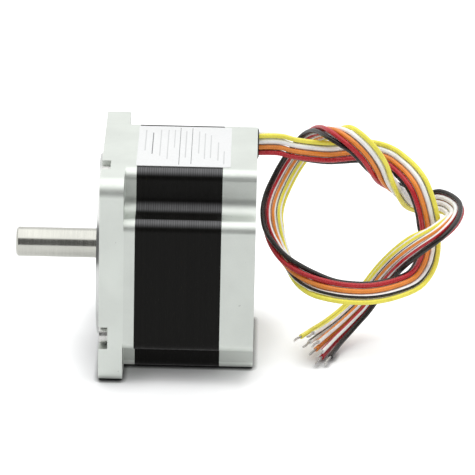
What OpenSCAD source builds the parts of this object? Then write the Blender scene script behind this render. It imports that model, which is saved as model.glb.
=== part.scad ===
// Two-phase hybrid stepper motor with an 86 mm frame and eight leads.
// X runs along the shaft, whose free end points to -X. Z is up.
// The origin is on the shaft's axis, in the plane of the mounting face.

/* [Frame] */
// Width of the square frame across its flats
frame_w = 86; // [84:0.5:92]
// Thickness of the mounting flange
flange_t = 9.5; // [8:0.5:11]
// Depth of the front casting, from the mounting face to the laminations
front_depth = 14; // [14:0.5:18]
// Length of the lamination stack
stack_l = 34; // [30:1:80]
// Depth of the rear cap
rear_depth = 13.5; // [13.5:0.5:18]
// Radius of the flange's four corners
flange_r = 6.75; // [3:0.25:8]
// Radius of the long edges of the body
edge_r = 4.4; // [1.5:0.1:5]

/* [Corner notches] */
// Notch depth across the first side of each corner
notch_deep = 14; // [12:0.5:15]
// Notch height along the second side of each corner
notch_tall = 16.5; // [14:0.5:17]
// Radius in the root of each notch
notch_r = 6; // [3:0.5:7]

/* [Mounting] */
// Distance of each mounting hole's axis from the flange's sides
hole_inset = 8.2; // [7.5:0.1:9]
// Radius of a mounting hole
hole_r = 3.25; // [2.5:0.05:3.6]
// Distance of the pilot's edge from the flange's sides
pilot_inset = 6.5; // [6:0.5:9]
// Height of the pilot above the mounting face
pilot_h = 1.5; // [1:0.1:2.5]

/* [Shaft] */
// Radius of the output shaft
shaft_r = 6; // [5:0.1:6.2]
// Length of shaft beyond the mounting face
shaft_out = 35; // [20:1:45]
// Chamfer at both ends of the shaft
shaft_chamfer = 0.8; // [0.3:0.1:1.5]
// Height of the shaft's shoulder that the bearings butt against
shoulder_h = 1; // [0.5:0.1:1.6]

/* [Bearings] */
// Outer radius of a bearing
bearing_r = 14; // [13.5:0.1:14.5]
// Width of a bearing
bearing_w = 8; // [7.5:0.1:8]
// Radius of a bearing ball
ball_r = 2.38; // [2:0.01:2.5]
// Balls in a bearing
ball_count = 8; // [6:1:8]
// Thickness of a bearing shield
shield_t = 0.3; // [0.2:0.05:0.4]

/* [Castings] */
// Wall of the front casting in front of the bearing
front_wall = 4; // [3:0.1:4.5]
// Space between the stack and the rear bearing
rear_seat = 2; // [1.8:0.1:2.2]
// Space for the wave washer behind the rear bearing
washer_space = 1.2; // [1:0.1:1.4]
// Wall of the hub round each bearing
hub_wall = 4.5; // [3:0.25:5]
// Reach of the hollow of each casting beyond the winding slots
cavity_over = 2; // [1.5:0.1:2.5]
// Wall behind the hollow of each casting
cavity_wall = 4; // [3:0.1:4.5]
// Gap round the shaft where it leaves the front casting
shaft_hole_gap = 2; // [1:0.1:3]

/* [Assembly screws] */
// Distance of a screw's axis from the side that its pocket opens to
screw_edge = 4.6; // [4.4:0.1:5]
// Distance of a screw's axis from the notch beside it
screw_notch = 5.7; // [4.8:0.1:6.5]
// Radius of a screw's shank
screw_r = 2; // [1.5:0.1:2.1]
// Radius of a screw's head
head_r = 3.7; // [3.3:0.1:3.8]
// Height of a screw's head
head_h = 2.6; // [2:0.1:2.8]
// Width across flats of the socket in the head
socket_w = 3; // [2.5:0.1:3.4]
// Depth of the screw pocket in the flange
pocket_depth = 3.6; // [3.4:0.1:4.2]
// Width of the screw pocket in the flange
pocket_w = 9.3; // [8.6:0.1:9.5]

/* [Core of an 86 mm frame, which follows the frame's width] */
// Poles of the stator
pole_count = 8; // [8:8:8]
// Teeth on each pole
pole_teeth = 5; // [4:1:5]
// Thickness of the laminations behind the slots, in the middle of a side
yoke_t = 9; // [8.5:0.1:9.5]
// Width of a pole's neck
neck_size = 7; // [6:0.1:8]
// Radial thickness of a pole's head
pole_head_size = 3; // [2.4:0.1:3.2]
// Radial gap between the rotor and the stator
air_gap = 0.12; // [0.08:0.01:0.3]
// Radial distance from the rotor's teeth to the bottom of the winding slots
slot_depth = 11.5; // [11.4:0.1:12]
// Teeth on a rotor cup
rotor_teeth = 50; // [50:50:50]
// Depth of the teeth on rotor and stator
tooth_h = 1; // [0.6:0.1:1.2]
// Distance of the magnet's rim below the rotor's teeth
magnet_inset = 5.5; // [3.5:0.5:8.5]
// Thickness of the magnet
magnet_t = 4.9; // [3:0.1:6]
// Space between a winding's inner corner and the middle of its slot
coil_side_gap = 2.4; // [1:0.1:3.5]
// Radial height of a winding
coil_size = 6.2; // [5:0.1:6.2]

/* [Windings] */
// Reach of the end turns beyond the stack
end_turn = 5; // [4.5:0.1:5.2]
// Thickness of the insulators' slot liners
liner_t = 0.4; // [0.3:0.05:0.5]
// Thickness of the insulators' end plates
plate_t = 0.6; // [0.4:0.05:0.7]
// Thickness of the circuit board that the leads are soldered to
board_t = 1.6; // [1:0.1:1.7]

/* [Leads] */
// Radius of a lead over its insulation
lead_r = 1; // [0.8:0.05:1]
// Spacing of the leads in the grommet
lead_pitch = 2.4; // [2.2:0.05:2.45]
// Radius of a tinned lead end
tip_r = 0.5; // [0.3:0.05:0.6]
// Length of a tinned lead end
tip_l = 7; // [4:0.5:9]
// Distance of the grommet's middle from the notch beside it
grommet_notch = 5; // [4.8:0.1:6.5]
// Distance of the grommet's middle below the top face
grommet_drop = 6.5; // [6.4:0.1:7.5]
// Reach of the grommet beyond the rear face
grommet_out = 0.3; // [0.2:0.1:2.5]

/* [Label] */
// Lap of the label over the front casting
label_front_lap = 0.4; // [0:0.1:1]
// Lap of the label over the rear cap
label_rear_lap = 3; // [0:0.1:5]
// Bare strip of the top face on each side of the label
label_margin = 0.95; // [0.5:0.05:6]
// Thickness of the label
label_t = 0.15; // [0.1:0.01:0.3]

/* [Hidden] */
$fn = 64;

// One overrun serves all cuts.
cut = 0.5;
// Gap of parts that are pressed or seated together
seat = 0.02;
// Gap of parts that are stacked face to face
stack_gap = 0.05;
// Gap between each end of the rotor and the end of the laminations
rotor_inset = 0.25;

// Stations along the shaft
half_w = frame_w / 2;
x_rear = front_depth + stack_l;
x_back = x_rear + rear_depth;
x_front_bearing = front_wall;
x_rear_bearing = x_rear + rear_seat;
x_washer = x_rear_bearing + bearing_w;
x_bore_end = x_washer + washer_space;

// Radii and spacings that follow the frame's width
core_frame_w = 86;
core_scale = frame_w / core_frame_w;
hole_spacing = frame_w - 2 * hole_inset;
pilot_r = half_w - pilot_inset;
slot_r = half_w - yoke_t * core_scale;
rotor_r = slot_r - slot_depth * core_scale;
cavity_r = slot_r + cavity_over * core_scale;
neck_w = neck_size * core_scale;
pole_head_t = pole_head_size * core_scale;
coil_h = coil_size * core_scale;

// Hubs and hollows of the castings
hub_r = bearing_r + hub_wall;
shaft_hole_r = shaft_r + shaft_hole_gap;
hub_lip = 0.6;
hollow_clear = 2.5;
x_hollow = front_depth - end_turn - hollow_clear;
x_hollow_end = x_back - cavity_wall;

// Teeth and poles
tooth_pitch = 360 / rotor_teeth;
tooth_share = 0.42;
pole_pitch = 360 / pole_count;
stator_r = rotor_r + air_gap;
pole_head_r = stator_r + pole_head_t;
head_angle = tooth_pitch * (pole_teeth - 1 + tooth_share);
stator_groove_w = 2 * stator_r * sin(tooth_pitch * (1 - tooth_share) / 2);
rotor_groove_w = 2 * rotor_r * sin(tooth_pitch * (1 - tooth_share) / 2);
cup_l = (stack_l - magnet_t) / 2 - rotor_inset - stack_gap;
magnet_r = rotor_r - magnet_inset * core_scale;
x_cup_front = front_depth + rotor_inset;
x_magnet = x_cup_front + cup_l + stack_gap;
x_cup_rear = x_magnet + magnet_t + stack_gap;

// Shaft, with a grinding relief between the output end and the bearing's seat
relief_depth = 0.3;
relief_w = 2;
relief_gap = 0.5;
x_relief = -pilot_h - relief_gap;
shoulder_r = shaft_r + shoulder_h;
x_shoulder = x_front_bearing + bearing_w + stack_gap;
x_shoulder_end = x_rear_bearing - stack_gap;
shaft_end_gap = 0.4;
x_shaft_end = x_bore_end - shaft_end_gap;

// Bearings
race_wall = 2;
inner_race_r = shaft_r + race_wall;
outer_race_r = bearing_r - race_wall;
ball_path_r = (inner_race_r + outer_race_r) / 2;
race_clear = 0.07;
cage_wall = 1.6;
cage_clear = 0.1;
cage_shield_gap = 0.5;
shield_inset = 0.4;
shield_run_gap = 0.15;
cage_half_w = bearing_w / 2 - shield_inset - shield_t - cage_shield_gap;

// Wave washer
wave_t = 0.3;
wave_w = 1.5;
wave_edge_gap = 0.3;
wave_count = 3;
wave_steps = 48;
wave_rise = (washer_space - wave_t) / 2 - stack_gap;

// Screws and lock washers
screw_far = half_w - screw_edge;
screw_side = half_w - notch_deep - screw_notch;
screw_hole_gap = 0.2;
screw_sink = 1;
head_sink = 0.2;
socket_share = 0.6;
spring_t = pocket_depth - head_h - head_sink;
spring_bore_gap = 0.1;
spring_rim = 0.1;
spring_slit = 0.9;

// Windings
liner_gap = 0.1;
coil_half_in = neck_w / 2 + liner_t + 2 * liner_gap;
coil_edge_gap = 1.5;
coil_r_in = slot_r - coil_edge_gap * core_scale - coil_h;
coil_half_out = coil_r_in * tan(pole_pitch / 2) - coil_side_gap * core_scale;
coil_l_in = stack_l + 2 * (plate_t + liner_gap);
coil_l_out = stack_l + 2 * end_turn;
coil_corner = 2.5;
coil_corner_in = 0.5;

// Insulators and circuit board
fence_gap = 0.2;
fence_t = 1.5;
fence_rise = 1.4;
fence_h = end_turn + fence_rise;
fence_r = cavity_r - fence_gap;
inner_fence_t = 1.4;
inner_fence_share = 0.9;
liner_share = 0.45;
x_board = x_rear + fence_h;
board_rim = 0.4;
board_hub_gap = 1;
board_ear_gap = 0.3;

// Grommet, its slot and the pocket behind it
grommet_y = half_w - notch_tall - grommet_notch;
grommet_z = half_w - grommet_drop;
lead_rows = [1.5, 0.5, -0.5, -1.5];
lead_columns = [-0.5, 0.5];
slot_wall = 3;
slot_side = 1.2;
slot_rim = 0.7;
slot_w = lead_pitch + 2 * (lead_r + slot_side);
slot_h = 3 * lead_pitch + 2 * (lead_r + slot_rim);
grommet_lip = 0.4;
slot_corner = 1.5;
pocket_skin = 1.5;
pocket_side = 3;
pocket_far_side = 5.5;
pocket_floor_share = 0.76;
pocket_low = grommet_z - pocket_floor_share * cavity_r;
pocket_front_gap = 1;

// Label, on the flat between the two notches of the top face
label_l = label_front_lap + stack_l + label_rear_lap;
label_x = front_depth - label_front_lap + label_l / 2;
label_w = frame_w - notch_deep - notch_tall - 2 * (edge_r + label_margin);
label_y = (notch_deep - notch_tall) / 2;

// Route of the bundle's middle line, measured from the middle of the grommet's face
bundle_route = [
    [0, 0, 0], [8.2, 0, 0], [16.2, 0.1, -2.1], [29.3, 3.2, -4.5], [40.2, 8.1, -5.2], [51.2, 9, -7],
    [59.2, 5, -11], [65.2, -2, -16], [68.9, -4.7, -25.2], [70.7, -3.3, -35.4], [70.3, -9.1, -43.2], [65, -20.4, -49.5],
    [50.4, -28.4, -52.1], [36.2, -30, -52], [24.2, -25, -51], [14.2, -14, -48], [8.2, -2, -41], [6.2, 9, -33],
    [9.2, 17, -25], [15.2, 20, -14], [23.1, 14.9, -1.7], [31.1, -1.2, 6], [39.2, -7, 4.1], [46.2, -8, -3],
    [52.2, -2, -14], [60.2, 7, -24], [69.2, 13, -29], [76.3, 10.9, -27.9], [80.8, -1.6, -27.6], [74.5, -16.4, -29.6],
    [61.6, -17, -38.6], [51.8, -12.3, -51.8], [44.2, -13.9, -63], [36.2, -19, -70], [30.2, -26, -73], [26.2, -35, -73]];
// Turn of the bundle about its middle line at shares of its length
bundle_turns = [
    [0, 0], [0.1, -22], [0.27, -27], [0.33, -50], [0.39, -58], [0.47, -190], [0.55, -184], [0.575, -180],
    [0.625, -75], [0.66, -65], [0.73, 70], [0.77, 80], [0.8, 50], [0.85, -47], [0.9, -55], [1, -71]];
bundle_rings = 60;
lead_sides = 6;
// The leads gather from the grommet's rows into a flat ribbon of two layers, and fan out at their ends.
gather_share = 0.12;
ribbon_pitch = 1.16;
layer_depth = 1.2;
fan_from_share = 0.88;
fan_share = 0.7;
// Row and column of each lead in the grommet, its place across the ribbon, and its extra reach
lead_places = [
    [-0.5, 0.5, 2, 3], [0.5, -0.5, 5, 3], [1.5, -0.5, 7, 6], [0.5, 0.5, 4, 1],
    [-0.5, -0.5, 3, 2], [1.5, 0.5, 6, 0], [-1.5, -0.5, 1, 2], [-1.5, 0.5, 0, 0]];
lead_colours = ["snow", "snow", "yellow", "snow", "darkorange", "snow", "crimson", "#202020"];

// Places and shapes that several parts share

// Sketches lie in the plane across the shaft: X becomes Y, Y becomes Z, height becomes X.
module along_x(x0) translate([x0, 0, 0]) rotate([90, 0, 90]) children();

module ring(r_in, r_out, h) difference() {
    cylinder(r = r_out, h = h);
    translate([0, 0, -cut]) cylinder(r = r_in, h = h + 2 * cut);
}

module corner_bit(r) difference() {
    square(r + cut);
    circle(r);
}

module rounded_rect(w, h, r) difference() {
    square([w, h], center = true);
    for (mx = [0, 1], my = [0, 1])
        mirror([mx, 0]) mirror([0, my]) translate([w / 2 - r, h / 2 - r]) corner_bit(r);
}

// One corner notch with its rounded root and the rounded edges beside it
module notch() translate([-half_w, half_w - notch_tall]) {
    difference() {
        translate([-cut, 0]) square([notch_deep + cut, notch_tall + cut]);
        translate([notch_deep - notch_r, 0]) difference() {
            square(notch_r);
            translate([0, notch_r]) circle(notch_r);
        }
    }
    translate([notch_deep + edge_r, notch_tall - edge_r]) mirror([1, 0]) corner_bit(edge_r);
    translate([edge_r, -edge_r]) mirror([1, 0]) corner_bit(edge_r);
}

module body_profile() difference() {
    square(frame_w, center = true);
    for (k = [0 : 3]) rotate(90 * k) notch();
}

module at_holes() for (sx = [-1, 1], sy = [-1, 1])
    translate([sx * hole_spacing / 2, sy * hole_spacing / 2]) children();

module at_screws() for (k = [0 : 3]) rotate(90 * k) translate([-screw_far, -screw_side]) children();

module screw_pocket() {
    circle(pocket_w / 2);
    translate([-screw_edge - cut, -pocket_w / 2]) square([screw_edge + cut, pocket_w]);
}

// Castings

module front_casting() color("gainsboro") difference() {
    union() {
        along_x(0) linear_extrude(flange_t) rounded_rect(frame_w, frame_w, flange_r);
        along_x(flange_t - cut) linear_extrude(front_depth - flange_t + cut) body_profile();
        along_x(-pilot_h) cylinder(r = pilot_r, h = pilot_h + cut);
    }
    along_x(-cut) linear_extrude(flange_t + 2 * cut) at_holes() circle(hole_r);
    along_x(-pilot_h - cut) cylinder(r = shaft_hole_r, h = pilot_h + front_wall + 2 * cut);
    along_x(x_front_bearing) cylinder(r = bearing_r, h = front_depth);
    along_x(x_front_bearing + bearing_w + hub_lip) cylinder(r = hub_r + cut, h = front_depth);
    along_x(x_hollow) ring(hub_r, cavity_r, front_depth);
    along_x(-cut) linear_extrude(pocket_depth + cut) at_screws() screw_pocket();
    along_x(0) linear_extrude(front_depth + cut) at_screws() circle(screw_r + screw_hole_gap);
}

module rear_cap() color("gainsboro") difference() {
    along_x(x_rear) linear_extrude(rear_depth) body_profile();
    along_x(x_rear - cut) ring(hub_r, cavity_r, x_hollow_end - x_rear + cut);
    along_x(x_rear - cut) cylinder(r = hub_r + cut, h = rear_seat - hub_lip + cut);
    along_x(x_rear - cut) cylinder(r = bearing_r, h = x_bore_end - x_rear + cut);
    along_x(x_rear - cut) linear_extrude(rear_depth + 2 * cut) at_screws() circle(screw_r + seat);
    lead_pocket();
    along_x(x_back - slot_wall - cut) linear_extrude(slot_wall + 2 * cut)
        translate([grommet_y, grommet_z]) rounded_rect(slot_w, slot_h, slot_corner);
}

// Space behind the rear cap's top, where the leads run from the board to the grommet
module lead_pocket() translate([
        x_board - pocket_front_gap, grommet_y - pocket_far_side, grommet_z - pocket_low])
    cube([
        x_back - slot_wall - x_board + pocket_front_gap,
        pocket_far_side + pocket_side,
        half_w - pocket_skin - grommet_z + pocket_low]);

// Stator

module pole() {
    translate([stator_r + tooth_h, -neck_w / 2]) square([slot_r - stator_r, neck_w]);
    intersection() {
        circle(pole_head_r);
        wedge(head_angle);
    }
}

// Triangle from the axis that spans an angle and reaches past the slots
module wedge(angle) polygon([
    [0, 0],
    2 * slot_r * [cos(angle / 2), -sin(angle / 2)],
    2 * slot_r * [cos(angle / 2), sin(angle / 2)]]);

module stator_profile() difference() {
    body_profile();
    difference() {
        circle(slot_r);
        for (k = [0 : pole_count - 1]) rotate(k * pole_pitch) pole();
    }
    circle(stator_r);
    for (k = [0 : pole_count - 1], j = [0 : pole_teeth - 2])
        rotate(k * pole_pitch + (j - (pole_teeth - 2) / 2) * tooth_pitch)
            translate([stator_r + (tooth_h - cut) / 2, 0])
                square([tooth_h + cut, stator_groove_w], center = true);
    at_screws() circle(screw_r + screw_hole_gap);
}

module stator_core() color("#2b2a29")
    along_x(front_depth) linear_extrude(stack_l) stator_profile();

// Insulator on the laminations' end, with its height pointing away from them
module insulator() color("ivory") {
    ring(fence_r - fence_t, fence_r, fence_h);
    for (k = [0 : pole_count - 1]) rotate(k * pole_pitch) {
        translate([pole_head_r - inner_fence_t / 2, -neck_w / 2 - liner_gap - liner_t])
            cube([fence_r - fence_t - pole_head_r + inner_fence_t, neck_w + 2 * (liner_gap + liner_t), plate_t]);
        linear_extrude(end_turn * inner_fence_share) intersection() {
            difference() {
                circle(pole_head_r);
                circle(pole_head_r - inner_fence_t);
            }
            wedge(head_angle);
        }
        for (side = [-1, 1])
            translate([pole_head_r + liner_gap, side * (neck_w / 2 + liner_gap + liner_t / 2) - liner_t / 2,
                    -stack_l * liner_share])
                cube([slot_r - pole_head_r - 3 * liner_gap, liner_t, stack_l * liner_share + plate_t]);
    }
}

module front_insulator() along_x(front_depth) mirror([0, 0, 1]) insulator();

module rear_insulator() along_x(x_rear) insulator();

// Winding of one pole
module coil(k) color("peru")
    rotate([k * pole_pitch, 0, 0])
        translate([front_depth + stack_l / 2, coil_r_in, 0]) rotate([-90, 0, 0])
            linear_extrude(coil_h) difference() {
                rounded_rect(coil_l_out, 2 * coil_half_out, coil_corner);
                rounded_rect(coil_l_in, 2 * coil_half_in, coil_corner_in);
            }

// Rotor

module shaft() color("silver") along_x(0) rotate_extrude() polygon([
    [0, -shaft_out],
    [shaft_r - shaft_chamfer, -shaft_out],
    [shaft_r, shaft_chamfer - shaft_out],
    [shaft_r, x_relief],
    [shaft_r - relief_depth, x_relief],
    [shaft_r - relief_depth, x_relief + relief_w],
    [shaft_r, x_relief + relief_w],
    [shaft_r, x_shoulder],
    [shoulder_r, x_shoulder],
    [shoulder_r, x_shoulder_end],
    [shaft_r, x_shoulder_end],
    [shaft_r, x_shaft_end - shaft_chamfer],
    [shaft_r - shaft_chamfer, x_shaft_end],
    [0, x_shaft_end]]);

module rotor_cup() linear_extrude(cup_l) difference() {
    circle(rotor_r);
    circle(shoulder_r + seat);
    for (k = [0 : rotor_teeth - 1]) rotate(k * tooth_pitch)
        translate([rotor_r - (tooth_h - cut) / 2, 0])
            square([tooth_h + cut, rotor_groove_w], center = true);
}

module rotor_cup_front() color("dimgray") along_x(x_cup_front) rotor_cup();

// The rear cup is turned by half a tooth.
module rotor_cup_rear() color("dimgray") along_x(x_cup_rear) rotate(tooth_pitch / 2) rotor_cup();

module rotor_magnet() color("gray") along_x(x_magnet) ring(shoulder_r + seat, magnet_r, magnet_t);

// Bearings, each drawn from its front face

module race(r_in, r_out) rotate_extrude() difference() {
    translate([r_in, 0]) square([r_out - r_in, bearing_w]);
    translate([ball_path_r, bearing_w / 2]) circle(ball_r + race_clear);
}

module outer_ring(x0) color("silver") along_x(x0) race(outer_race_r, bearing_r - seat);

module inner_ring(x0) color("silver") along_x(x0) race(shaft_r + seat, inner_race_r);

module at_balls() for (k = [0 : ball_count - 1]) rotate(k * 360 / ball_count)
    translate([ball_path_r, 0, bearing_w / 2]) children();

module balls(x0) color("lightgray") along_x(x0) at_balls() sphere(ball_r);

module cage(x0) color("peru") along_x(x0) difference() {
    translate([0, 0, bearing_w / 2 - cage_half_w])
        ring(ball_path_r - cage_wall / 2, ball_path_r + cage_wall / 2, 2 * cage_half_w);
    at_balls() rotate([0, 90, 0]) cylinder(r = ball_r + cage_clear, h = cage_wall + 2 * cut, center = true);
}

module shield(x0) color("gray") along_x(x0)
    ring(inner_race_r + shield_run_gap, outer_race_r - stack_gap, shield_t);

// Wave washer that loads the rear bearing: a ring that rises and falls round its circle
function wave_height(k) = washer_space / 2 + wave_rise * sin(wave_count * k * 360 / wave_steps);

module wave_washer() color("silver") along_x(x_washer) {
    r_out = bearing_r - wave_edge_gap;
    corners = [
        for (k = [0 : wave_steps - 1], c = [[-1, -1], [1, -1], [1, 1], [-1, 1]])
        let (a = k * 360 / wave_steps, r = r_out - wave_w * (1 - c[0]) / 2)
        [r * cos(a), r * sin(a), wave_height(k) + c[1] * wave_t / 2]];
    sides = [
        for (k = [0 : wave_steps - 1], s = [0 : 3])
        let (a = 4 * k, b = 4 * ((k + 1) % wave_steps), t = (s + 1) % 4)
        each [[a + s, a + t, b + t], [a + s, b + t, b + s]]];
    polyhedron(corners, sides);
}

// Screws

module through_bolts() color("silver") along_x(head_sink) at_screws() {
    difference() {
        cylinder(r = head_r, h = head_h);
        translate([0, 0, -cut])
            cylinder(r = socket_w / 2 / cos(30), h = head_h * socket_share + cut, $fn = 6);
    }
    translate([0, 0, head_h - cut]) cylinder(r = screw_r, h = x_back - screw_sink - head_sink - head_h + cut);
}

module lock_washers() color("silver") along_x(head_sink + head_h) at_screws() difference() {
    ring(screw_r + spring_bore_gap, head_r - spring_rim, spring_t);
    translate([0, -spring_slit / 2, -cut]) cube([head_r + cut, spring_slit, spring_t + 2 * cut]);
}

// Board, lead ends inside the cap, and grommet

module at_leads() for (row = lead_rows, column = lead_columns)
    translate([grommet_y + column * lead_pitch, grommet_z + row * lead_pitch]) children();

module lead_board() color("seagreen") along_x(x_board) linear_extrude(board_t) {
    difference() {
        circle(cavity_r - board_rim);
        circle(hub_r + board_hub_gap);
    }
    intersection() {
        translate([grommet_y - pocket_far_side + board_ear_gap, grommet_z - pocket_low])
            square([pocket_far_side + pocket_side - 2 * board_ear_gap,
                half_w - pocket_skin - board_ear_gap - grommet_z + pocket_low]);
        difference() {
            square(frame_w, center = true);
            circle(hub_r + board_hub_gap);
        }
    }
}

module lead_tails() color("ivory") along_x(x_board + board_t)
    at_leads() cylinder(r = lead_r, h = x_back + grommet_out - x_board - board_t);

module lead_grommet() color("#181818") difference() {
    union() {
        along_x(x_back - slot_wall) linear_extrude(slot_wall + cut) translate([grommet_y, grommet_z])
            rounded_rect(slot_w - 2 * stack_gap, slot_h - 2 * stack_gap, slot_corner);
        along_x(x_back) linear_extrude(grommet_out) translate([grommet_y, grommet_z])
            rounded_rect(slot_w + 2 * grommet_lip, slot_h + 2 * grommet_lip, slot_corner + grommet_lip);
    }
    along_x(x_back - slot_wall - cut) at_leads() cylinder(r = lead_r + seat, h = slot_wall + grommet_out + 2 * cut);
}

// Label

module label() color("white") translate([label_x, label_y, half_w])
    linear_extrude(label_t) rounded_rect(label_l, label_w, edge_r / 2);

// Leads: one smooth curve for the bundle, and a place across it for each lead

function unit(v) = v / norm(v);

// Point k of a route, or the point that would come before its start or after its end
function route_point(p, k) =
    k < 0 ? 2 * p[0] - p[1] :
    k >= len(p) ? 2 * p[len(p) - 1] - p[len(p) - 2] :
    p[k];

function curve(p, s) =
    let (k = min(floor(s), len(p) - 2), t = s - k,
        a = route_point(p, k - 1), b = route_point(p, k),
        c = route_point(p, k + 1), d = route_point(p, k + 2))
    (2 * b + (c - a) * t + (2 * a - 5 * b + 4 * c - d) * t * t + (3 * b - a - 3 * c + d) * t * t * t) / 2;

exit_point = [x_back + grommet_out, grommet_y, grommet_z];
middle = [for (k = [0 : bundle_rings]) exit_point + curve(bundle_route, k * (len(bundle_route) - 1) / bundle_rings)];
ahead = [for (k = [0 : bundle_rings])
    k == 0 ? [1, 0, 0] : unit(middle[min(k + 1, bundle_rings)] - middle[k - 1])];
// Sideways directions that follow the curve without turning about it
beside = [for (k = 0, n = [0, 1, 0]; k <= bundle_rings;
    k = k + 1, n = k > bundle_rings ? n : unit(n - (n * ahead[k]) * ahead[k])) n];

// Place of a lead across the bundle, in the directions beside and above the curve
function lead_offset(place, share) =
    let (gathering = min(1, share / gather_share),
        gathered = gathering * gathering * (3 - 2 * gathering),
        fanned = pow(max(0, share - fan_from_share) / (1 - fan_from_share), 2),
        in_rows = lead_pitch * [place[1], place[0]],
        in_ribbon = [
            place[2] % 2 == 0 ? layer_depth : -layer_depth,
            ribbon_pitch * (place[2] - (len(lead_places) - 1) / 2) * (1 + fan_share * fanned)])
    in_rows * (1 - gathered) + in_ribbon * gathered;

// Centre of a lead at a ring
function lead_centre(place, k) =
    let (share = k / bundle_rings,
        offset = lead_offset(place, share),
        turn = lookup(share, bundle_turns),
        turned = beside[k] * cos(turn) + cross(ahead[k], beside[k]) * sin(turn),
        reach = k == bundle_rings ? place[3] * ahead[k] : [0, 0, 0])
    middle[k] + reach + offset[0] * turned + offset[1] * cross(ahead[k], turned);

function lead_line(i) = [for (k = [0 : bundle_rings]) lead_centre(lead_places[i], k)];

function line_ahead(line, k) =
    k == 0 ? [1, 0, 0] : unit(line[min(k + 1, len(line) - 1)] - line[k - 1]);

// Tube of straight-sided rings along a line of centres
module tube(line, r) {
    n = lead_sides;
    last = len(line) - 1;
    sideways = [for (k = 0, v = [0, 1, 0]; k <= last;
        k = k + 1, v = k > last ? v : unit(v - (v * line_ahead(line, k)) * line_ahead(line, k))) v];
    points = [for (k = [0 : last], j = [0 : n - 1])
        line[k] + r * (cos(j * 360 / n) * sideways[k] + sin(j * 360 / n) * cross(line_ahead(line, k), sideways[k]))];
    walls = [for (k = [0 : last - 1], j = [0 : n - 1])
        let (a = k * n + j, b = k * n + (j + 1) % n)
        each [[a, b, b + n], [a, b + n, a + n]]];
    start = [for (j = [1 : n - 2]) [0, j + 1, j]];
    end = [for (j = [1 : n - 2]) [last * n, last * n + j, last * n + j + 1]];
    polyhedron(points, concat(walls, start, end));
}

module lead(i) color(lead_colours[i]) tube(lead_line(i), lead_r);

// Tinned wire end in line with its lead
module tip(i) {
    line = lead_line(i);
    way = line_ahead(line, bundle_rings);
    color("silver") translate(line[bundle_rings]) rotate([0, acos(way[2]), atan2(way[1], way[0])])
        cylinder(r = tip_r, h = tip_l);
}

// Least gap between two leads, and of a lead to itself past its nearest rings
function gap_between(a, b) = min([for (p = a) min([for (q = b) norm(p - q)])]) - 2 * lead_r;
near_rings = 5;
function gap_to_self(a) = min([for (k = [0 : len(a) - 1 - near_rings])
    min([for (j = [k + near_rings : len(a) - 1]) norm(a[k] - a[j])])]) - 2 * lead_r;
lead_count = len(lead_places);
union() {
    lines = [for (i = [0 : lead_count - 1]) lead_line(i)];
    echo(least_gap_between_leads = min([for (i = [0 : lead_count - 2]) min([for (j = [i + 1 : lead_count - 1])
        gap_between(lines[i], lines[j])])]));
    echo(least_gap_of_a_lead_to_itself = min([for (line = lines) gap_to_self(line)]));
}

front_casting();
rear_cap();
stator_core();
front_insulator();
rear_insulator();
coil(0);  // coil_1
coil(1);  // coil_2
coil(2);  // coil_3
coil(3);  // coil_4
coil(4);  // coil_5
coil(5);  // coil_6
coil(6);  // coil_7
coil(7);  // coil_8
shaft();
rotor_cup_front();
rotor_magnet();
rotor_cup_rear();
outer_ring(x_front_bearing);  // front_bearing_outer_ring
inner_ring(x_front_bearing);  // front_bearing_inner_ring
balls(x_front_bearing);  // front_bearing_balls
cage(x_front_bearing);  // front_bearing_cage
shield(x_front_bearing + shield_inset);  // front_bearing_shield_front
shield(x_front_bearing + bearing_w - shield_inset - shield_t);  // front_bearing_shield_rear
outer_ring(x_rear_bearing);  // rear_bearing_outer_ring
inner_ring(x_rear_bearing);  // rear_bearing_inner_ring
balls(x_rear_bearing);  // rear_bearing_balls
cage(x_rear_bearing);  // rear_bearing_cage
shield(x_rear_bearing + shield_inset);  // rear_bearing_shield_front
shield(x_rear_bearing + bearing_w - shield_inset - shield_t);  // rear_bearing_shield_rear
wave_washer();
through_bolts();
lock_washers();
lead_board();
lead_tails();
lead_grommet();
label();
lead(0);  // lead_white_red
lead(1);  // lead_white_black
lead(2);  // lead_yellow
lead(3);  // lead_white_orange
lead(4);  // lead_orange
lead(5);  // lead_white_yellow
lead(6);  // lead_red
lead(7);  // lead_black
tip(0);  // tip_white_red
tip(1);  // tip_white_black
tip(2);  // tip_yellow
tip(3);  // tip_white_orange
tip(4);  // tip_orange
tip(5);  // tip_white_yellow
tip(6);  // tip_red
tip(7);  // tip_black
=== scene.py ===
import math

import bmesh
import bpy
from mathutils import Matrix, Vector


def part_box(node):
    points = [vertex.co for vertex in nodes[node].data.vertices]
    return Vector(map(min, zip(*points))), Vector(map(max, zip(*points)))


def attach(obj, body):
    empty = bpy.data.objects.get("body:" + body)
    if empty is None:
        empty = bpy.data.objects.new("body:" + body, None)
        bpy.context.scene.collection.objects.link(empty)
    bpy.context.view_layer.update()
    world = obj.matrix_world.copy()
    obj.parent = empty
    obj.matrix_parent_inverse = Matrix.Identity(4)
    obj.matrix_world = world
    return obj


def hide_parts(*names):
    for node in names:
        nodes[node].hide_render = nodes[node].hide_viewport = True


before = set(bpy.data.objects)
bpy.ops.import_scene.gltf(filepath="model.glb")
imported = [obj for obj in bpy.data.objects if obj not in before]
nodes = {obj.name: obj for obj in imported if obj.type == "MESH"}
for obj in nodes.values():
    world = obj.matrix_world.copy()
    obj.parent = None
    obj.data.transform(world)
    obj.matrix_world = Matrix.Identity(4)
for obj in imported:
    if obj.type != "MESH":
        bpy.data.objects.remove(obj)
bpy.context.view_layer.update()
scene = bpy.context.scene
mm = 0.001
print("frame loaded:", len(nodes), "nodes")


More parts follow.
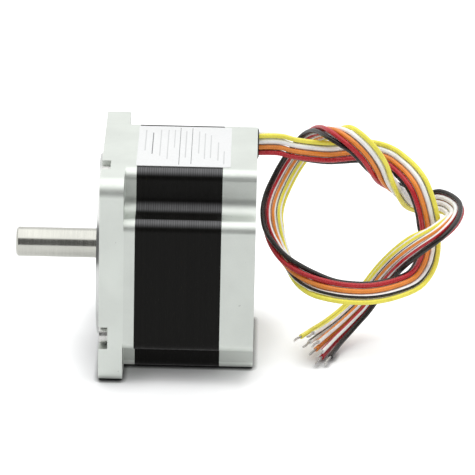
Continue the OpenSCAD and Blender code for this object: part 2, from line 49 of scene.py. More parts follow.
# Camera, nearly square on to the motor's side and 22 degrees above it
shot = {
    "target": (54.215 * mm, 0, 3.812 * mm),
    "distance": 1.63813,
    "azimuth": -0.0036,
    "elevation": 0.3838,
    "roll": 0.0219,
    "lens": 307.3,
    "sensor": 36,
    "farthest": 20,
}


def makeCamera(shot):
    across, up = shot["azimuth"], shot["elevation"]
    view = Vector((math.sin(across) * math.cos(up), math.cos(across) * math.cos(up), -math.sin(up)))
    camera = bpy.data.objects.new("camera", bpy.data.cameras.new("camera"))
    camera.data.lens = shot["lens"]
    camera.data.sensor_width = shot["sensor"]
    camera.data.clip_end = shot["farthest"]
    turn = view.to_track_quat("-Z", "Y").to_matrix().to_4x4() @ Matrix.Rotation(shot["roll"], 4, "Z")
    camera.matrix_world = Matrix.Translation(Vector(shot["target"]) - shot["distance"] * view) @ turn
    scene.collection.objects.link(camera)
    scene.camera = camera


makeCamera(shot)
print("camera placed")


# Tools that the pieces share
limits = {
    "merge": 0.002 * mm,  # vertices nearer than this become one
    "flat": 0.4,  # degrees between faces that become one
    "shading": 32,  # degrees above which the shading breaks at an edge
    "sharp": 38,  # degrees above which an edge can be rounded
}


def makePiece(name, shape, finish, body, stands, flatFaces=False):
    mesh = bpy.data.meshes.new(name)
    shape.to_mesh(mesh)
    shape.free()
    mesh.shade_smooth()
    mesh.set_sharp_from_angle(angle=math.radians(limits["shading"]))
    piece = bpy.data.objects.new(name, mesh)
    scene.collection.objects.link(piece)
    mesh.materials.append(finish)
    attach(piece, body)
    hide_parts(*stands)
    if flatFaces:  # the flats keep one tone right up to their rounded edges
        weighted = piece.modifiers.new("weighted", "WEIGHTED_NORMAL")
        weighted.keep_sharp = True
    return piece


def copyNode(name):  # a merged copy of a CAD node's loose triangles
    shape = bmesh.new()
    shape.from_mesh(nodes[name].data)
    bmesh.ops.remove_doubles(shape, verts=shape.verts, dist=limits["merge"])
    bmesh.ops.dissolve_limit(shape, angle_limit=math.radians(limits["flat"]), verts=shape.verts, edges=shape.edges)
    return shape


def isSharp(edge, degrees=limits["sharp"]):
    return len(edge.link_faces) == 2 and edge.calc_face_angle(0) > math.radians(degrees)


def roundEdges(shape, edges, width, segments=2):
    bmesh.ops.bevel(shape, geom=edges, offset=width, offset_type="OFFSET", affect="EDGES", segments=segments,
                    profile=0.5, clamp_overlap=True, material=-1)


def smoothNode(name, finish, body, width=0.0):  # width is in millimetres
    shape = copyNode(name)
    if width:
        roundEdges(shape, [edge for edge in shape.edges if isSharp(edge)], width * mm)
    makePiece(name + "_turned", shape, finish, body, [name])


def curvePoint(points, s):  # Catmull-Rom, with a straight run-out at both ends
    k = min(int(s), len(points) - 2)
    t = s - k
    a = points[k - 1] if k > 0 else 2 * points[0] - points[1]
    b, c = points[k], points[k + 1]
    d = points[k + 2] if k + 2 < len(points) else 2 * points[-1] - points[-2]
    return (2 * b + (c - a) * t + (2 * a - 5 * b + 4 * c - d) * t * t + (3 * b - a - 3 * c + d) * t ** 3) / 2


def finerPath(points, finer):
    return [curvePoint(points, k / finer) for k in range((len(points) - 1) * finer + 1)]


def pathLength(path):
    return sum((b - a).length for a, b in zip(path, path[1:]))


def carryFrames(path):  # a frame at each point of a path, carried along without turning about it
    frames = []
    side = Vector((0, 1, 0))
    for k, point in enumerate(path):
        ahead = (path[min(k + 1, len(path) - 1)] - path[max(k - 1, 0)]).normalized()
        side = (side - side.dot(ahead) * ahead).normalized()
        carried = Matrix((side, ahead.cross(side), ahead)).transposed().to_4x4()
        carried.translation = point
        frames.append(carried)
    return frames


# Every other corner is drawn in to the share that grooves gives, turn is in radians along the whole tube, and sizes
# has one share of the radius for each ring. A vertex keeps its place across the tube and along it as "around".
def makeTube(frames, radius, sides, grooves=1.0, turn=0.0, sizes=None):
    shape = bmesh.new()
    around = shape.verts.layers.float_vector.new("around")
    ring = bmesh.ops.create_circle(shape, cap_ends=True, segments=sides, radius=radius)["verts"]
    bmesh.ops.scale(shape, vec=(grooves, grooves, 1), verts=ring[::2])
    for vert in ring:
        vert[around] = (vert.co.x / radius, vert.co.y / radius, 0)
    bmesh.ops.transform(shape, matrix=frames[0], verts=ring)
    edges = list(shape.edges)
    along = 0.0
    count = len(frames) - 1
    spin = Matrix.Rotation(turn / count, 4, "Z")
    for k in range(count):
        made = bmesh.ops.extrude_edge_only(shape, edges=edges)["geom"]
        ring = [part for part in made if isinstance(part, bmesh.types.BMVert)]
        edges = [part for part in made if isinstance(part, bmesh.types.BMEdge)
                 and all(vert in ring for vert in part.verts)]
        size = sizes[k + 1] / sizes[k] if sizes else 1
        shrink = Matrix.Diagonal((size, size, 1, 1))
        bmesh.ops.transform(shape, matrix=frames[k + 1] @ shrink @ spin @ frames[k].inverted(), verts=ring)
        along += (frames[k + 1].translation - frames[k].translation).length
        back = frames[k + 1].inverted()
        for vert in ring:
            place = back @ vert.co
            vert[around] = (place.x / radius, place.y / radius, along)
    bmesh.ops.contextual_create(shape, geom=edges)
    bmesh.ops.recalc_face_normals(shape, faces=shape.faces)
    return shape


# Shader maths
class Wire:  # one socket of a material's nodes, which can be used in sums
    def __init__(self, tree, socket):
        self.tree = tree
        self.socket = socket

    def node(self, kind, settings=None, sockets=None, output=0):  # the output goes by its number or its name
        made = self.tree.nodes.new("ShaderNode" + kind)
        for name, value in (settings or {}).items():
            setattr(made, name, value)
        for name, value in (sockets or {}).items():
            if isinstance(value, Wire):
                self.tree.links.new(value.socket, made.inputs[name])
            else:
                made.inputs[name].default_value = value
        return Wire(self.tree, made.outputs[output]) if made.outputs else None

    def sum(self, operation, first, second=0.0):
        return self.node("Math", {"operation": operation}, {0: first, 1: second})

    def __add__(self, other):
        return self.sum("ADD", self, other)

    __radd__ = __add__

    def __sub__(self, other):
        return self.sum("SUBTRACT", self, other)

    def __rsub__(self, other):
        return self.sum("SUBTRACT", other, self)

    def __mul__(self, other):
        return self.sum("MULTIPLY", self, other)

    __rmul__ = __mul__

    def __truediv__(self, other):
        return self.sum("DIVIDE", self, other)

    def __pow__(self, other):
        return self.sum("POWER", self, other)

    def __gt__(self, other):
        return self.sum("GREATER_THAN", self, other)

    def __lt__(self, other):
        return self.sum("LESS_THAN", self, other)

    def __abs__(self):
        return self.sum("ABSOLUTE", self)

    def larger(self, other):
        return self.sum("MAXIMUM", self, other)

    def axes(self):
        split = self.node("SeparateXYZ", {}, {0: self}).socket.node
        return [Wire(self.tree, socket) for socket in split.outputs]

    def spread(self, low, high, to=(0.0, 1.0)):  # a soft step from one value to another
        return self.node("MapRange", {"interpolation_type": "SMOOTHSTEP"},
                         {0: self, 1: low, 2: high, 3: to[0], 4: to[1]})

    def evened(self, low=0.0, high=1.0):  # a noise's usual range, stretched to another one
        return self.spread(0.3, 0.7, (low, high))

    def noise(self, scale, detail=2.0, stretch=(1, 1, 1)):
        vector = self.node("Mapping", {}, {"Vector": self, "Scale": stretch})
        return self.node("TexNoise", {}, {"Vector": vector, "Scale": scale, "Detail": detail})

    def between(self, first, second):  # a colour from first to second, with this wire as the share of second
        return self.node("Mix", {"data_type": "RGBA"}, {0: self, 6: first, 7: second}, 2)

    def bump(self, height, strength=1.0, under=None):  # height is in metres
        sockets = {"Strength": strength, "Distance": height, "Height": self}
        if under is not None:
            sockets["Normal"] = under
        return self.node("Bump", {}, sockets)


shaderSockets = {
    "colour": "Base Color",
    "metal": "Metallic",
    "rough": "Roughness",
    "coat": "Coat Weight",
    "coatRough": "Coat Roughness",
    "normal": "Normal",
    "specular": "Specular IOR Level",
}


def newFinish(name):
    material = bpy.data.materials.new(name)
    material.use_nodes = True
    tree = material.node_tree
    tree.nodes.clear()
    place = Wire(tree, tree.nodes.new("ShaderNodeTexCoord").outputs["Object"])
    return material, place


def setShader(material, place, **sockets):
    shader = place.node("BsdfPrincipled", {}, {shaderSockets[name]: value for name, value in sockets.items()})
    place.node("OutputMaterial", {}, {"Surface": shader})
    return material


def tone(value, tint=(1, 1, 1)):  # a tint made darker or lighter
    return tuple(min(1, value * part) for part in tint[:3]) + (1,)


def twoTones(shades, tint):
    return [tone(value, tint) for value in shades]


def grainFinish(name, grain, colours, rough, bump, **sockets):
    material, place = newFinish(name)
    marks = place.noise(*grain)
    return setShader(material, place, colour=marks.evened().between(*colours), rough=marks.evened(*rough),
                     normal=marks.bump(*bump), **sockets)


# Leads, which leave the grommet as one bundle: the same route and places as in the part's source
bundle = {
    "exit": (61.8, 21.5, 36.5),
    "route": [
        (0, 0, 0), (8.2, 0, 0), (16.2, 0.1, -2.1), (29.3, 3.2, -4.5), (40.2, 8.1, -5.2), (51.2, 9, -7),
        (59.2, 5, -11), (65.2, -2, -16), (68.9, -4.7, -25.2), (70.7, -3.3, -35.4), (70.3, -9.1, -43.2),
        (65, -20.4, -49.5), (50.4, -28.4, -52.1), (36.2, -30, -52), (24.2, -25, -51), (14.2, -14, -48),
        (8.2, -2, -41), (6.2, 9, -33), (9.2, 17, -25), (15.2, 20, -14), (23.1, 14.9, -1.7), (31.1, -1.2, 6),
        (39.2, -7, 4.1), (46.2, -8, -3), (52.2, -2, -14), (60.2, 7, -24), (69.2, 13, -29), (76.3, 10.9, -27.9),
        (80.8, -1.6, -27.6), (74.5, -16.4, -29.6), (61.6, -17, -38.6), (51.8, -12.3, -51.8), (44.2, -13.9, -63),
        (36.2, -19, -70), (30.2, -26, -73), (26.2, -35, -73)],
    # share of the length, and the turn there in degrees
    "turns": [
        (0, 0), (0.1, -22), (0.27, -27), (0.33, -50), (0.39, -58), (0.47, -190), (0.55, -184), (0.575, -180),
        (0.625, -75), (0.66, -65), (0.73, 70), (0.77, 80), (0.8, 50), (0.85, -47), (0.9, -55), (1, -71)],
    "rings": 60,
    "pitch": 2.4,
    "gather": 0.12,  # share of the length in which the rows become a flat ribbon of two layers
    "ribbonPitch": 1.16,
    "layerDepth": 1.2,
    "fanFrom": 0.88,
    "fanShare": 0.7,
    "diameter": 2.0,
    "finer": 4,
    "sides": 14,
}
# row, column, place across the ribbon, extra reach, colour, stripe
leads = {
    "white_red": (-0.5, 0.5, 2, 3, "white", "red"),
    "white_black": (0.5, -0.5, 5, 3, "white", "black"),
    "yellow": (1.5, -0.5, 7, 6, "yellow", None),
    "white_orange": (0.5, 0.5, 4, 1, "white", "orange"),
    "orange": (-0.5, -0.5, 3, 2, "orange", None),
    "white_yellow": (1.5, 0.5, 6, 0, "white", "yellow"),
    "red": (-1.5, -0.5, 1, 2, "red", None),
    "black": (-1.5, 0.5, 0, 0, "black", None),
}
insulation = {
    "white": (0.97, 0.965, 0.945, 1),
    "yellow": (0.96, 0.86, 0.10, 1),
    "orange": (0.87, 0.275, 0.038, 1),
    "red": (0.50, 0.014, 0.024, 1),
    "black": (0.0095, 0.0060, 0.0050, 1),
    "shades": (0.93, 1.05),
    "grain": (260, 3),
    "polish": (1500, 2),
    "waves": (900, 2),
    "rough": (0.22, 0.32),
    "bump": (0.03 * mm, 0.35),
    "specular": 0.6,
    "stripeHalfAngle": 40.0,
    "stripeBlur": 0.03,
    "stripeShown": (0.55, 0.86),  # shares of the length where a stripe faces the front
    "front": (0, -1, 0.4),
}
tinned = {
    "diameter": 1.0,
    "length": 7.0,
    "strands": 7,
    "grooves": 0.72,
    "twist": 2.6 * math.pi,
    "hidden": 0.05,  # share of the length inside the insulation
    "bends": [0.0, 0.0, 0.05, 0.16, 0.30, 0.36, 0.30, 0.18, 0.0],  # millimetres aside at even steps
    "bendChange": 1.7,  # radians from lead to lead
    "taper": [0.95, 0.8, 0.5],
    "finer": 4,
    "grain": (1800, 3),
    "colours": (tone(0.42, (1, 0.98, 0.95)), tone(0.68, (1, 0.99, 0.97))),
    "clouded": (0.35, 0.65),  # values of the grain between which the colour changes
    "dulled": (0.2, 0.8),  # and the roughness
    "rough": (0.22, 0.46),
    "bump": (0.04 * mm, 0.6),
    "metal": 0.95,
}


def bundleLine(bundle):
    route = [Vector(point) * mm for point in bundle["route"]]
    steps = bundle["rings"]
    start = Vector(bundle["exit"]) * mm
    middle = [start + curvePoint(route, k * (len(route) - 1) / steps) for k in range(steps + 1)]
    ahead = [Vector((1, 0, 0))]
    ahead += [(middle[min(k + 1, steps)] - middle[k - 1]).normalized() for k in range(1, steps + 1)]
    side = Vector((0, 1, 0))
    beside = [side]
    for before in ahead[:-1]:
        side = (side - side.dot(before) * before).normalized()
        beside.append(side)
    return middle, ahead, beside


def turnAt(turns, share):
    for (low, first), (high, second) in zip(turns, turns[1:]):
        if share <= high:
            return math.radians(first + (second - first) * (share - low) / (high - low))
    return math.radians(turns[-1][1])


def leadLine(bundle, place):
    middle, ahead, beside = bundleLine(bundle)
    row, column, across, reach = place[:4]
    steps = bundle["rings"]
    layer = 1 if across % 2 == 0 else -1
    inRows = Vector((column, row)) * bundle["pitch"]
    line = []
    for k in range(steps + 1):
        share = k / steps
        gathering = min(1, share / bundle["gather"])
        gathered = gathering * gathering * (3 - 2 * gathering)
        fanned = (max(0, share - bundle["fanFrom"]) / (1 - bundle["fanFrom"])) ** 2
        pitch = bundle["ribbonPitch"] * (1 + bundle["fanShare"] * fanned)
        inRibbon = Vector((bundle["layerDepth"] * layer, pitch * (across - (len(leads) - 1) / 2)))
        offset = (inRows * (1 - gathered) + inRibbon * gathered) * mm
        turn = turnAt(bundle["turns"], share)
        turned = beside[k] * math.cos(turn) + ahead[k].cross(beside[k]) * math.sin(turn)
        further = reach * mm * ahead[k] if k == steps else Vector((0, 0, 0))
        line.append(middle[k] + further + offset.x * turned + offset.y * ahead[k].cross(turned))
    return line


def stripeAngles(path, frames):  # where a stripe starts round its lead, and how it turns along it
    found = []
    for share in insulation["stripeShown"]:
        k = round(share * (len(path) - 1))
        local = frames[k].to_3x3().transposed() @ Vector(insulation["front"])
        found.append((pathLength(path[:k + 1]), math.atan2(local.y, local.x)))
    (near, first), (far, second) = found
    rate = ((second - first + math.pi) % (2 * math.pi) - math.pi) / (far - near)
    return first - rate * near, rate


def leadFinish(name, colour, stripe, start, rate):
    material, place = newFinish("lead" + name.title().replace("_", ""))
    base = place.noise(*insulation["grain"]).evened().between(*twoTones(insulation["shades"], insulation[colour]))
    if stripe:
        across, up, along = place.node("Attribute", {"attribute_name": "around"}, {}, "Vector").axes()
        turns = along * rate + start
        facing = across * place.sum("COSINE", turns) + up * place.sum("SINE", turns)
        edge = math.cos(math.radians(insulation["stripeHalfAngle"]))
        blur = insulation["stripeBlur"]
        base = facing.spread(edge - blur, edge + blur).between(base, insulation[stripe])
    rough = place.noise(*insulation["polish"]).evened(*insulation["rough"])
    waves = place.noise(*insulation["waves"]).bump(*insulation["bump"])
    return setShader(material, place, colour=base, rough=rough, normal=waves, specular=insulation["specular"])


def tinnedFinish():
    material, place = newFinish("tinnedWire")
    grain = place.noise(*tinned["grain"])
    base = grain.spread(*tinned["clouded"]).between(*tinned["colours"])
    return setShader(material, place, colour=base, metal=tinned["metal"],
                     rough=grain.spread(*tinned["dulled"], tinned["rough"]), normal=grain.bump(*tinned["bump"]))


def makeTip(name, line, sideways, finish):
    ahead = (line[-1] - line[-2]).normalized()
    steps = len(tinned["bends"]) - 2
    shares = [-tinned["hidden"]] + [k / steps for k in range(steps + 1)]
    wire = [line[-1] + ahead * share * tinned["length"] * mm + sideways * bend * mm
            for share, bend in zip(shares, tinned["bends"])]
    path = finerPath(wire, tinned["finer"])
    sizes = [1.0] * (len(path) - len(tinned["taper"])) + tinned["taper"]
    shape = makeTube(carryFrames(path), tinned["diameter"] / 2 * mm, 2 * tinned["strands"], tinned["grooves"],
                     tinned["twist"], sizes)
    return makePiece("tip_" + name + "_strands", shape, finish, "housing", ["tip_" + name])


def makeLead(name, place, tinFinish):
    line = leadLine(bundle, place)
    path = finerPath(line, bundle["finer"])
    frames = carryFrames(path)
    across, colour, stripe = place[2], place[4], place[5]
    finish = leadFinish(name, colour, stripe, *stripeAngles(path, frames))
    lead = makePiece("lead_" + name + "_cord", makeTube(frames, bundle["diameter"] / 2 * mm, bundle["sides"]),
                     finish, "housing", ["lead_" + name])
    sideways = frames[-1].to_3x3() @ Vector((1, 0, 0)) * math.cos(across * tinned["bendChange"])
    tip = makeTip(name, line, sideways, tinFinish)
    length = pathLength(path)
    return length


tinFinish = tinnedFinish()
lengths = {name: round(makeLead(name, place, tinFinish) / mm) for name, place in leads.items()}
print("leads made, in millimetres:", lengths)


# Castings
castings = {
    "edge": 0.45,
    "edgeSharp": 50,
    "backFace": 61.5,
    "backEdge": 1.0,
    "rimOutside": 24,  # the rim of the rear face lies further out than this
    "leadHole": ((15, 28), (28, 42.9)),  # what the hole for the leads lies between in Y and in Z
    "colour": (0.745, 0.78, 0.737),
    "shades": (0.95, 1.04),
    "clouds": (45, 3),
    "cloudRough": 0.05,
    "grain": (2600, 3),
    "pits": (420, 1),
    "pitsAbove": 0.79,
    "pitTone": 0.30,
    "pitShare": 0.35,
    "body": 9.7,  # X where the notched body starts
    "notch": (38.0, 39.4),  # the notches lie nearer the middle than this, with a soft end
    # painted shade: the tone kept inside the notches, and on the side faces
    "notchPaintedShade": 0.78,
    "sidePaintedShade": 0.93,
    "upFacing": 0.9,  # how far the notches' upward faces are spared the painted shade
    "sideFacing": 0.97,  # a face is upright where its normal points across by more than this
    "rough": (0.40, 0.52),
    "bump": (0.04 * mm, 0.5),
    "metal": 0.95,
    "turnedTo": 0.02,  # the mounting face and its pilot lie before this X
    "turned": (0.66, 0.67, 0.66),
    "turnedShades": (0.96, 1.04),
    "turnedRough": (0.20, 0.28),
    "turnedMarks": {"Scale": 2600, "Detail": 2},
}


def castFinish():
    material, place = newFinish("castAluminium")
    cloud = place.noise(*castings["clouds"])
    grain = place.noise(*castings["grain"])
    pits = place.noise(*castings["pits"]) > castings["pitsAbove"]
    base = cloud.evened().between(*twoTones(castings["shades"], castings["colour"]))
    base = (pits * castings["pitShare"]).between(base, tone(castings["pitTone"]))
    # painted shade: the colour is darker inside the notches, where shade falls, and a little darker on the side
    # faces that point across than on the top and bottom, as light falls from above
    x, y, z = place.axes()
    alongNormal, acrossNormal, upNormal = [abs(part) for part in place.node("TexCoord", output="Normal").axes()]
    notchEnd, notchEdge = [limit * mm for limit in castings["notch"]]
    onBody = x > castings["body"] * mm
    sideways = (acrossNormal > castings["sideFacing"]) * onBody
    shadedWall = sideways * (abs(y) < notchEnd)
    nearer = abs(y).larger(abs(z)).spread(notchEnd, notchEdge, (1.0, 0.0))
    notchShadeMask = nearer * (1 - (alongNormal > 0.5)) * onBody * (1 - upNormal * castings["upFacing"])
    shade = notchShadeMask.larger(shadedWall) * (1 - castings["notchPaintedShade"]) + (sideways - shadedWall) * (1 - castings["sidePaintedShade"])
    base = shade.between(base, tone(0))
    # the mounting face and its pilot are turned
    turned = x < castings["turnedTo"] * mm
    radius = place.sum("SQRT", y * y + z * z)
    marks = place.node("TexNoise", {"noise_dimensions": "1D"}, {"W": radius, **castings["turnedMarks"]})
    base = turned.between(base, marks.evened().between(*twoTones(castings["turnedShades"], castings["turned"])))
    rough = grain.evened(*castings["rough"]) + cloud * castings["cloudRough"]
    rough = rough + turned * (marks.evened(*castings["turnedRough"]) - rough)
    bumps = (grain * (1 - turned) + marks * turned).bump(*castings["bump"])
    metal = turned * (1 - castings["metal"]) + castings["metal"]
    return setShader(material, place, colour=base, metal=metal, rough=rough, normal=bumps)


def onBackRim(point):
    return (abs(point.x - castings["backFace"] * mm) < 0.01 * mm
            and max(abs(point.y), abs(point.z)) > castings["rimOutside"] * mm)


def inLeadHole(point):
    (left, right), (low, high) = castings["leadHole"]
    return left * mm < point.y < right * mm and low * mm < point.z < high * mm


def makeCasting(name):
    shape = copyNode(name)
    rim = [edge for edge in shape.edges if isSharp(edge) and all(onBackRim(vert.co) for vert in edge.verts)
           and not all(inLeadHole(vert.co) for vert in edge.verts)]
    if rim:
        roundEdges(shape, rim, castings["backEdge"] * mm, 3)
    roundEdges(shape, [edge for edge in shape.edges if isSharp(edge, castings["edgeSharp"])], castings["edge"] * mm)
    makePiece(name + "_cast", shape, castFinish(), "housing", [name], True)


makeCasting("front_casting")
makeCasting("rear_cap")
print("castings made")


# Lamination stack
stack = {
    "sheet": 0.906,
    "groove": (0.24, 0.46),  # how far from its middle a sheet's edge falls away, in sheets
    "ridge": (0.06 * mm, 0.8),
    "paint": (0.0040, 0.0038, 0.0032),
    "shades": (0.75, 1.3),
    "grain": (700, 3),
    "rough": (0.34, 0.44),
    "bump": (0.03 * mm, 0.5),
    "specular": 0.12,
    # painted highlight: its colour and its share of metal
    "paintedHighlight": (0.13, 0.13, 0.134),
    "highlightMetal": 0.5,
    "edges": 36,  # the outer edges lie further from the middle than this, and the notches' roots nearer
    # how far a face looks up where the painted highlight starts, and where it ends again
    "edgeHighlight": ((0.40, 0.88), (0.985, 0.999)),
    "rootHighlight": ((0.30, 0.62), (0.78, 0.96)),
    "rootShare": 0.8,
    "below": -0.45,  # painted highlight of edges that face down
    "grooveHighlightDrop": 0.45,
    "sheetChange": 0.15,
}


def highlightBand(upright, start, end, most=1.0):
    return upright.spread(*start) * upright.spread(*end, (most, 0.0))


def stackFinish():
    material, place = newFinish("blackLaminations")
    x, y, z = place.axes()
    along = x / (stack["sheet"] * mm)
    groove = abs(place.sum("FRACT", along) - 0.5).spread(*stack["groove"])
    sheetTone = place.node("TexWhiteNoise", {"noise_dimensions": "1D"}, {"W": place.sum("FLOOR", along)})
    paint = place.noise(*stack["grain"])
    # painted highlight: the rounded edges and the notches' roots that face up are lighter and more metallic, as the
    # glossy paint there mirrors the light above
    upNormal = place.node("TexCoord", output="Normal").axes()[2]
    upright = upNormal.larger(upNormal * stack["below"])
    outer = abs(y).larger(abs(z)) > stack["edges"] * mm
    onEdge = highlightBand(upright, *stack["edgeHighlight"])
    inRoot = highlightBand(upright, *stack["rootHighlight"], stack["rootShare"])
    change = stack["sheetChange"]
    paintedHighlight = (outer * onEdge + (1 - outer) * inRoot) * (1 - groove * stack["grooveHighlightDrop"])
    paintedHighlight = paintedHighlight * (1 - change + sheetTone * change)
    base = (sheetTone * 0.5 + paint * 0.5).between(*twoTones(stack["shades"], stack["paint"]))
    base = paintedHighlight.between(base, tone(1, stack["paintedHighlight"]))
    ridges = (sheetTone * 0.5 - groove).bump(*stack["ridge"])
    return setShader(material, place, colour=base, rough=paint.evened(*stack["rough"]),
                     metal=paintedHighlight * stack["highlightMetal"], specular=stack["specular"],
                     normal=paint.bump(*stack["bump"], ridges))


makePiece("stator_core_stack", copyNode("stator_core"), stackFinish(), "housing",
          ["stator_core"], True)
print("stack made")


# Ground, turned and plated steel: colour, roughness, stretch of the marks and their height in millimetres
steels = {
    "groundSteel": ((0.55, 0.55, 0.505), (0.14, 0.24), (3, 0.15, 0.15), 0.006),
    "bearingSteel": ((0.62, 0.63, 0.64), (0.16, 0.26), (1, 1, 1), 0.004),
    "shieldSteel": ((0.55, 0.56, 0.57), (0.26, 0.38), (1, 1, 1), 0.008),
    "screwSteel": ((0.62, 0.62, 0.60), (0.24, 0.40), (1, 1, 1), 0.01),
    "rotorSteel": ((0.40, 0.39, 0.38), (0.30, 0.46), (5, 0.4, 0.4), 0.02),
}
steelMarks = {
    "grain": (700, 3),
    "clouds": (90, 2),
    "shades": (0.92, 1.06),
    "bump": 0.5,
}


def steelFinish(name, colour, rough, stretch, height):
    material, place = newFinish(name)
    marks = place.noise(*steelMarks["grain"], stretch)
    clouded = marks * 0.5 + place.noise(*steelMarks["clouds"]) * 0.5
    base = clouded.evened().between(*twoTones(steelMarks["shades"], colour))
    return setShader(material, place, colour=base, metal=1.0, rough=marks.evened(*rough),
                     normal=marks.bump(height * mm, steelMarks["bump"]))


steel = {name: steelFinish(name, *look) for name, look in steels.items()}
smoothNode("shaft", steel["groundSteel"], "rotor")
smoothNode("through_bolts", steel["screwSteel"], "housing", 0.2)
smoothNode("lock_washers", steel["screwSteel"], "housing", 0.1)
smoothNode("wave_washer", steel["shieldSteel"], "housing")
for end in ["front", "rear"]:
    smoothNode("rotor_cup_" + end, steel["rotorSteel"], "rotor")
for end in ["front", "rear"]:
    smoothNode(end + "_bearing_outer_ring", steel["bearingSteel"], "housing", 0.25)
    smoothNode(end + "_bearing_inner_ring", steel["bearingSteel"], "rotor", 0.25)
    smoothNode(end + "_bearing_balls", steel["bearingSteel"], end + "_cage")
    for side in ["front", "rear"]:
        smoothNode(end + "_bearing_shield_" + side, steel["shieldSteel"], "housing")
print("steel pieces made")


# Label, left blank but for its ruled lines
label = {
    "corner": 1.0,
    "edge": 0.05,
    # place along X, start and end along Y, width, strength of the ink
    "rules": [
        (19.5, -10.5, 13.5, 0.35, 1.0), (30.4, -21.9, 19.8, 0.22, 1.0), (35.2, -21.0, 19.6, 0.22, 1.0),
        (16.6, -7, 16.5, 0.5, 0.3), (22.6, -12.5, 17, 0.45, 0.3), (25.6, -16, 17, 0.45, 0.3),
        (28.2, -3, 17, 0.4, 0.3), (32.8, -14, 16, 0.5, 0.3), (38.0, -9, 16, 0.45, 0.3),
        (40.4, -15, 14, 0.45, 0.3), (42.8, -14, 12, 0.45, 0.3), (45.8, -16.5, 4, 0.5, 0.3),
        (48.2, -20.5, -6, 0.45, 0.3)],
    "colour": (0.79, 0.80, 0.80),
    "shades": (0.97, 1.03),
    "ink": (0.10, 0.10, 0.11),
    "grain": (1400, 3),
    "rough": (0.36, 0.50),
    "bump": (0.01 * mm, 0.5),
}


def labelFinish():
    material, place = newFinish("labelFilm")
    x, y = place.axes()[:2]
    ink = 0.0
    for at, low, high, width, strength in label["rules"]:
        ink = (abs(x - at * mm) < width / 2 * mm) * (y > low * mm) * (y < high * mm) * strength + ink
    fibre = place.noise(*label["grain"])
    base = fibre.evened().between(*twoTones(label["shades"], label["colour"]))
    return setShader(material, place, colour=ink.between(base, tone(1, label["ink"])),
                     rough=fibre.evened(*label["rough"]), normal=fibre.bump(*label["bump"]))


def makeLabel():
    low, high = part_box("label")
    size = high - low
    shape = bmesh.new()
    bmesh.ops.create_cube(shape, size=1)
    place = Matrix.Translation((low + high) / 2) @ Matrix.Diagonal((*size, 1))
    bmesh.ops.transform(shape, matrix=place, verts=shape.verts)
    corners = [edge for edge in shape.edges if abs(edge.verts[0].co.z - edge.verts[1].co.z) > size.z / 2]
    roundEdges(shape, corners, label["corner"] * mm, 6)
    top = [edge for edge in shape.edges
           if isSharp(edge) and all(vert.co.z > high.z - 0.01 * mm for vert in edge.verts)]
    roundEdges(shape, top, label["edge"] * mm)
    makePiece("label_film", shape, labelFinish(), "housing", ["label"])


makeLabel()
print("label made")


# Grommet and inner pieces: the grain is a scale and a detail, and the bump a height and a strength
plain = {
    "grommetRubber": {
        "grain": (1800, 3), "colours": (tone(0.018), tone(0.032)), "rough": (0.50, 0.66), "bump": (0.02 * mm, 0.6)},
    "cageBrass": {
        "grain": (900, 3), "colours": ((0.60, 0.42, 0.16, 1), (0.72, 0.52, 0.22, 1)), "rough": (0.24, 0.36),
        "bump": (0.01 * mm, 0.5), "metal": 1.0},
    "rotorMagnet": {
        "grain": (1600, 4), "colours": (tone(0.16), tone(0.26, (1, 0.99, 0.96))), "rough": (0.40, 0.58),
        "bump": (0.03 * mm, 0.6), "metal": 0.8},
    "leadTails": {
        "grain": (500, 2), "colours": ((0.74, 0.73, 0.70, 1), (0.82, 0.81, 0.78, 1)), "rough": (0.32, 0.44),
        "bump": (0.02 * mm, 0.4)},
    "insulatorPlastic": {
        "grain": (900, 3), "colours": ((0.66, 0.60, 0.47, 1), (0.74, 0.68, 0.55, 1)), "rough": (0.42, 0.56),
        "bump": (0.02 * mm, 0.5)},
}
winding = {
    "wire": 0.55,
    "colours": ((0.42, 0.13, 0.045, 1), (0.60, 0.22, 0.08, 1)),
    "groove": (0.30, 0.5),
    "grooveShadeColour": (0.12, 0.035, 0.015, 1),
    "grooveShadeShare": 0.7,
    "grain": (300, 2),
    "rough": (0.24, 0.36),
    "bump": (0.2 * mm, 0.9),
    "metal": 0.75,
    "coat": 0.6,
    "coatRough": 0.15,
}
board = {
    "colours": ((0.010, 0.11, 0.045, 1), (0.018, 0.17, 0.07, 1)),
    "grain": (1200, 2),
    "stretches": ((1, 4, 0.6), (1, 0.6, 4)),
    "rough": (0.26, 0.38),
    "bump": (0.01 * mm, 0.5),
    "coat": 0.4,
}


def copperFinish():
    material, place = newFinish("copperWinding")
    across = place.node("Mapping", {}, {"Vector": place, "Scale": (0, 1, 1)})
    radius = place.node("VectorMath", {"operation": "LENGTH"}, {0: across}, "Value")
    turns = abs(place.sum("FRACT", radius / (winding["wire"] * mm)) - 0.5)
    shade = place.noise(*winding["grain"])
    # painted shade: the colour is darker between the wire's turns, where shade falls
    groove = turns.spread(*winding["groove"]) * winding["grooveShadeShare"]
    base = groove.between(shade.evened().between(*winding["colours"]), winding["grooveShadeColour"])
    return setShader(material, place, colour=base, metal=winding["metal"], rough=shade.evened(*winding["rough"]),
                     coat=winding["coat"], coatRough=winding["coatRough"],
                     normal=(0.5 - turns).bump(*winding["bump"]))


def boardFinish():
    material, place = newFinish("circuitBoard")
    warp, weft = [place.noise(*board["grain"], stretch) for stretch in board["stretches"]]
    weave = warp * 0.5 + weft * 0.5
    return setShader(material, place, colour=weave.evened().between(*board["colours"]),
                     rough=weave.evened(*board["rough"]), coat=board["coat"], normal=weave.bump(*board["bump"]))


grained = {name: grainFinish(name, **look) for name, look in plain.items()}
smoothNode("lead_grommet", grained["grommetRubber"], "housing", 0.3)
print("grommet made")

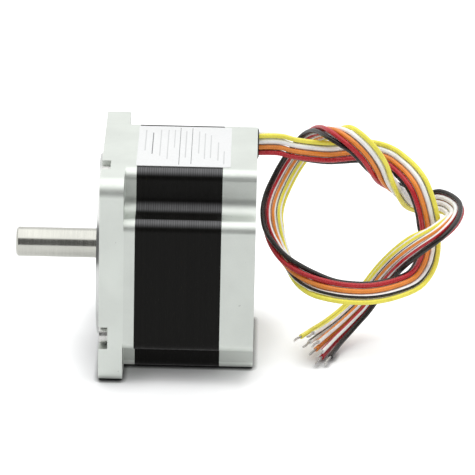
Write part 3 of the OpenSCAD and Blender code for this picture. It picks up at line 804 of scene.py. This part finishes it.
for end in ["front", "rear"]:
    smoothNode(end + "_bearing_cage", grained["cageBrass"], end + "_cage")
smoothNode("rotor_magnet", grained["rotorMagnet"], "rotor", 0.2)
smoothNode("lead_tails", grained["leadTails"], "housing")
smoothNode("lead_board", boardFinish(), "housing")
for end in ["front", "rear"]:
    smoothNode(end + "_insulator", grained["insulatorPlastic"], "housing")
copper = copperFinish()
for k in range(1, 9):
    smoothNode(f"coil_{k}", copper, "housing", 0.6)
print("inner pieces made")


# Table, lamp and world
studio = {
    "floor": (0.80, 0.805, 0.81, 1),
    "floorLift": 0.45,
    "floorMirrored": 0.24,
    # painted shadow: how far the floor is darkened near the part and in its crease
    "contactReach": 16 * mm,
    "creaseReach": 2.4 * mm,
    "creaseShadowPower": 1.7,
    "reachSamples": 8,
    "floorRadius": 1.0,
    "floorSides": 64,
    "floorMiddle": (0.05, 0.6, -43.02 * mm),
    "fill": 0.80,
    "overhead": 1.62,
    "overheadFrom": 39,  # degrees above the horizon
    "overheadTo": 54,
    "band": 0.16,  # strength of the dark band that metal mirrors on the camera's side
    "bandFrom": -6,
    "bandBlur": 2,
    "bandDepth": (-0.25, -0.05),
    "lampPower": 8,
    "lampSize": 1.2,
    "lampPlace": (0.05, 0.25, 1.3),
    "lampAim": (0.05, 0, 0),
}


def makeFloor(studio):
    shape = bmesh.new()
    bmesh.ops.create_circle(shape, cap_ends=True, segments=studio["floorSides"], radius=studio["floorRadius"])
    bmesh.ops.translate(shape, vec=studio["floorMiddle"], verts=shape.verts)
    mesh = bpy.data.meshes.new("floor")
    shape.to_mesh(mesh)
    shape.free()
    floor = bpy.data.objects.new("floor", mesh)
    scene.collection.objects.link(floor)
    material, place = newFinish("tableTop")
    seen = place.node("LightPath", output="Is Camera Ray")
    mirrored = place.node("LightPath", output="Is Glossy Ray")
    # painted shadow: the camera's glow fades close to the part, and the floor's colour is darkened in the crease
    # where the part stands on the table
    unshaded, uncreased = [
        place.node("AmbientOcclusion", {"samples": studio["reachSamples"]}, {"Distance": studio[reach]}, "AO")
        for reach in ("contactReach", "creaseReach")]
    clear = uncreased ** studio["creaseShadowPower"]
    shader = place.node("BsdfDiffuse", {}, {"Color": clear.between(tone(0), studio["floor"])})
    lift = seen * studio["floorLift"] * unshaded * unshaded * clear
    glow = place.node("Emission", {}, {"Color": tone(1), "Strength": lift + mirrored * studio["floorMirrored"]})
    place.node("OutputMaterial", {}, {"Surface": place.node("AddShader", {}, {0: shader, 1: glow})})
    mesh.materials.append(material)


def makeWorld(studio):
    world = bpy.data.worlds.new("studio")
    world.use_nodes = True
    tree = world.node_tree
    tree.nodes.clear()
    way = Wire(tree, tree.nodes.new("ShaderNodeTexCoord").outputs["Generated"])
    depth, height = way.axes()[1:]
    heights = [studio["overheadFrom"], studio["overheadTo"],
               studio["bandFrom"] - studio["bandBlur"], studio["bandFrom"] + studio["bandBlur"]]
    heights = [math.sin(math.radians(degrees)) for degrees in heights]
    above = height.spread(*heights[:2])
    inBand = depth.spread(*studio["bandDepth"], (1.0, 0.0)) * height.spread(*heights[2:]) * (1 - above)
    mirrored = (1 - inBand) + inBand * studio["band"] + above * (studio["overhead"] - 1)
    seen = way.node("LightPath", output="Is Camera Ray")
    glossy = way.node("LightPath", output="Is Glossy Ray")
    strength = seen + (1 - seen) * (glossy * mirrored + (1 - glossy) * studio["fill"])
    sky = way.node("Background", {}, {"Color": tone(1), "Strength": strength})
    way.node("OutputWorld", {}, {"Surface": sky})
    scene.world = world


def makeLamp(studio):
    lamp = bpy.data.lights.new("overheadLamp", "AREA")
    lamp.shape = "DISK"
    lamp.size = studio["lampSize"]
    lamp.energy = studio["lampPower"]
    place = Vector(studio["lampPlace"])
    way = Vector(studio["lampAim"]) - place
    holder = bpy.data.objects.new("overheadLamp", lamp)
    holder.matrix_world = Matrix.Translation(place) @ way.to_track_quat("-Z", "Y").to_matrix().to_4x4()
    holder.visible_glossy = False
    scene.collection.objects.link(holder)


makeFloor(studio)
makeWorld(studio)
makeLamp(studio)
scene.view_settings.view_transform = "Standard"
print("studio made")
